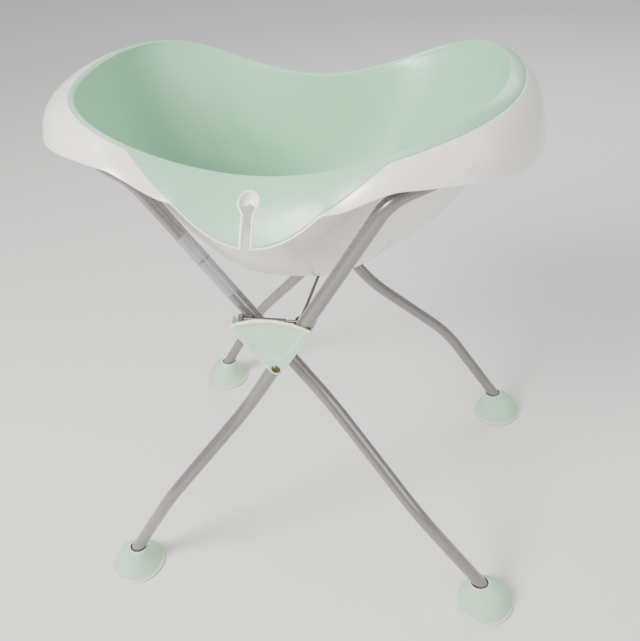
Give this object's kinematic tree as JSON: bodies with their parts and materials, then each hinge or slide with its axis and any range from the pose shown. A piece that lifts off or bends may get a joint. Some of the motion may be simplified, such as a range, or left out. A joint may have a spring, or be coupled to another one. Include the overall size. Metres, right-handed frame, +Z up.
{
  "type": "baby bathtub",
  "caption": "Baby bathtub with a raised wavy rim and side aprons, hung between the top loops of a folding X-shaped tube stand with bell feet and a lock bar.",
  "frame": {"origin": "on the floor, under the middle of the stand's pivot axis", "axes": "+X along the tub towards its foot end, +Y away from the side with the keyhole slot, +Z up"},
  "size_m": [0.7668, 0.65, 0.887],
  "materials": {
    "tube_steel": "satin grey paint",
    "plain_steel": "zinc plated",
    "dark_steel": "black oxide",
    "bolt_brass": "dark antique",
    "mint_plastic": "satin moulded",
    "mint_foot": "fine matt moulded",
    "white_plastic": "gloss moulded",
    "black_plastic": "matt",
    "grey_rubber": "matt",
    "label_film": "clear film with pale print left blank"
  },
  "bodies": {
    "outer_frame": {"outer_front_leg": "tube_steel", "outer_rear_leg": "tube_steel", "outer_top_loop": "tube_steel", "outer_joint_sleeves": "plain_steel", "outer_front_foot": "mint_foot", "outer_rear_foot": "mint_foot", "outer_foot_soles": "grey_rubber", "outer_front_saddle": "white_plastic", "outer_rear_saddle": "white_plastic", "front_cover": "mint_plastic", "rear_cover": "mint_plastic", "pivot_bolts": "bolt_brass", "pivot_washers": "plain_steel", "pivot_nuts": "plain_steel", "frame_spacers": "white_plastic", "front_catch": "dark_steel", "rear_catch": "dark_steel", "catch_rivets": "plain_steel"},
    "inner_frame": {"inner_front_leg": "tube_steel", "inner_rear_leg": "tube_steel", "inner_top_loop": "tube_steel", "inner_joint_sleeves": "plain_steel", "inner_front_foot": "mint_foot", "inner_rear_foot": "mint_foot", "inner_foot_soles": "grey_rubber", "inner_front_saddle": "white_plastic", "inner_rear_saddle": "white_plastic", "pivot_bushes": "white_plastic", "front_bar_lug": "dark_steel", "rear_bar_lug": "dark_steel", "lug_pins": "plain_steel", "upper_label": "label_film", "lower_label": "label_film"},
    "lock_bar": {"lock_bar": "dark_steel", "bar_grips": "black_plastic"},
    "tub": {"tub_shell": "white_plastic", "bath_liner": "mint_plastic", "drain_body": "white_plastic", "drain_gasket": "grey_rubber", "drain_nut": "white_plastic"},
    "plug": {"drain_plug": "mint_plastic"}
  },
  "joints": [
    {"name": "tub_lift", "type": "slide", "parent": "outer_frame", "child": "tub", "axis": [0, 0, 1], "range_m": [0, 1.1]},
    {"name": "frame_fold", "type": "hinge", "parent": "outer_frame", "child": "inner_frame", "pos_m": [0, 0, 0.5], "axis": [0, 1, 0], "range_deg": [0, 48.01]},
    {"name": "lock_bar_swing", "type": "hinge", "parent": "inner_frame", "child": "lock_bar", "pos_m": [-0.054, 0, 0.568], "axis": [0, -1, 0], "range_deg": [0, 98.01]},
    {"name": "plug_pull", "type": "slide", "parent": "tub", "child": "plug", "axis": [0, 0, 1], "range_m": [0, 0.06]}
  ],
  "couplings": [
    {"joint": "frame_fold", "follows": "tub_lift", "rad_per_m": 0.7616},
    {"joint": "lock_bar_swing", "follows": "tub_lift", "rad_per_m": 1.5549}
  ]
}
